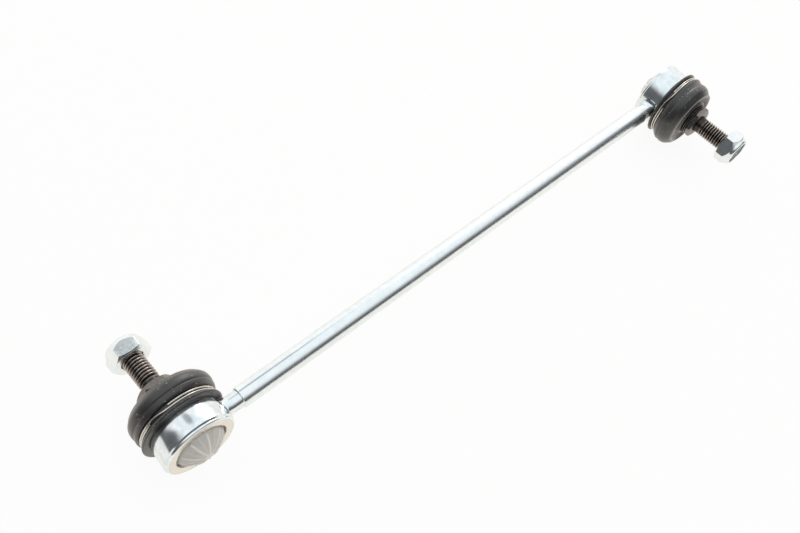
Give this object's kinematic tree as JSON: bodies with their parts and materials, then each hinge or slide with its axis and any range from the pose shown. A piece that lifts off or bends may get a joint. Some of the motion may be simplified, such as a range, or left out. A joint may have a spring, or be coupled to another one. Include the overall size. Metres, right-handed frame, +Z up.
{
  "type": "stabilizer link",
  "caption": "Straight anti-roll bar link: a round plated rod with a booted ball joint at each end, threaded studs pointing opposite ways, each with a lock nut.",
  "frame": {"origin": "midway between the two ball centres, on the rod's axis, which is the centre of the link's volume", "axes": "+X along the rod from the near joint to the far joint; the near stud points along +Y and the far stud along -Y; +Z is up with the link lying on its boots"},
  "size_m": [0.3662, 0.1039, 0.0404],
  "materials": {
    "zinc_plate": "bright zinc plating",
    "seat_plastic": "moulded acetal, slightly translucent",
    "boot_rubber": "moulded rubber, satin",
    "spring_wire": "bright drawn wire",
    "phosphated_steel": "dark phosphate, slightly oily",
    "blue_zinc": "blue-passivated zinc plating",
    "insert_nylon": "natural nylon"
  },
  "bodies": {
    "link": {"link_rod": "zinc_plate", "near_housing": "zinc_plate", "near_ball_seat": "seat_plastic", "near_boot_clamp_ring": "spring_wire", "far_housing": "zinc_plate", "far_ball_seat": "seat_plastic", "far_boot_clamp_ring": "spring_wire"},
    "near_boot": {"near_dust_boot": "boot_rubber"},
    "near_neck": {"near_boot_neck_ring": "spring_wire"},
    "near_stud": {"near_ball_stud": "phosphated_steel"},
    "near_insert": {"near_nut_insert": "insert_nylon"},
    "near_nut": {"near_lock_nut": "blue_zinc"},
    "far_boot": {"far_dust_boot": "boot_rubber"},
    "far_neck": {"far_boot_neck_ring": "spring_wire"},
    "far_stud": {"far_ball_stud": "phosphated_steel"},
    "far_insert": {"far_nut_insert": "insert_nylon"},
    "far_nut": {"far_lock_nut": "blue_zinc"}
  },
  "joints": [
    {"name": "near_swing_z", "type": "hinge", "parent": "link", "child": "near_boot", "pos_m": [-0.16285, 0, 0], "axis": [0, 0, 1], "range_deg": [-18, 18], "deforming": ["near_dust_boot"]},
    {"name": "near_swing_x", "type": "hinge", "parent": "near_boot", "child": "near_neck", "pos_m": [-0.16285, 0, 0], "axis": [1, 0, 0], "range_deg": [-18, 18], "deforming": ["near_dust_boot"]},
    {"name": "near_stud_spin", "type": "hinge", "parent": "near_neck", "child": "near_stud", "pos_m": [-0.16285, 0, 0], "axis": [0, 1, 0], "continuous": true},
    {"name": "near_nut_travel", "type": "slide", "parent": "near_stud", "child": "near_insert", "axis": [0, 1, 0], "range_m": [-0.01125, 0.0105]},
    {"name": "near_nut_turn", "type": "hinge", "parent": "near_insert", "child": "near_nut", "pos_m": [-0.16285, 0, 0], "axis": [0, 1, 0], "range_deg": [-2700, 2520]},
    {"name": "far_swing_z", "type": "hinge", "parent": "link", "child": "far_boot", "pos_m": [0.16285, 0, 0], "axis": [0, 0, 1], "range_deg": [-18, 18], "deforming": ["far_dust_boot"]},
    {"name": "far_swing_x", "type": "hinge", "parent": "far_boot", "child": "far_neck", "pos_m": [0.16285, 0, 0], "axis": [1, 0, 0], "range_deg": [-18, 18], "deforming": ["far_dust_boot"]},
    {"name": "far_stud_spin", "type": "hinge", "parent": "far_neck", "child": "far_stud", "pos_m": [0.16285, 0, 0], "axis": [0, -1, 0], "continuous": true},
    {"name": "far_nut_travel", "type": "slide", "parent": "far_stud", "child": "far_insert", "axis": [0, -1, 0], "range_m": [-0.0135, 0.009]},
    {"name": "far_nut_turn", "type": "hinge", "parent": "far_insert", "child": "far_nut", "pos_m": [0.16285, 0, 0], "axis": [0, -1, 0], "range_deg": [-3240, 2160]}
  ],
  "couplings": [
    {"joint": "near_nut_travel", "follows": "near_nut_turn", "m_per_rad": 0.00023873},
    {"joint": "far_nut_travel", "follows": "far_nut_turn", "m_per_rad": 0.00023873}
  ]
}
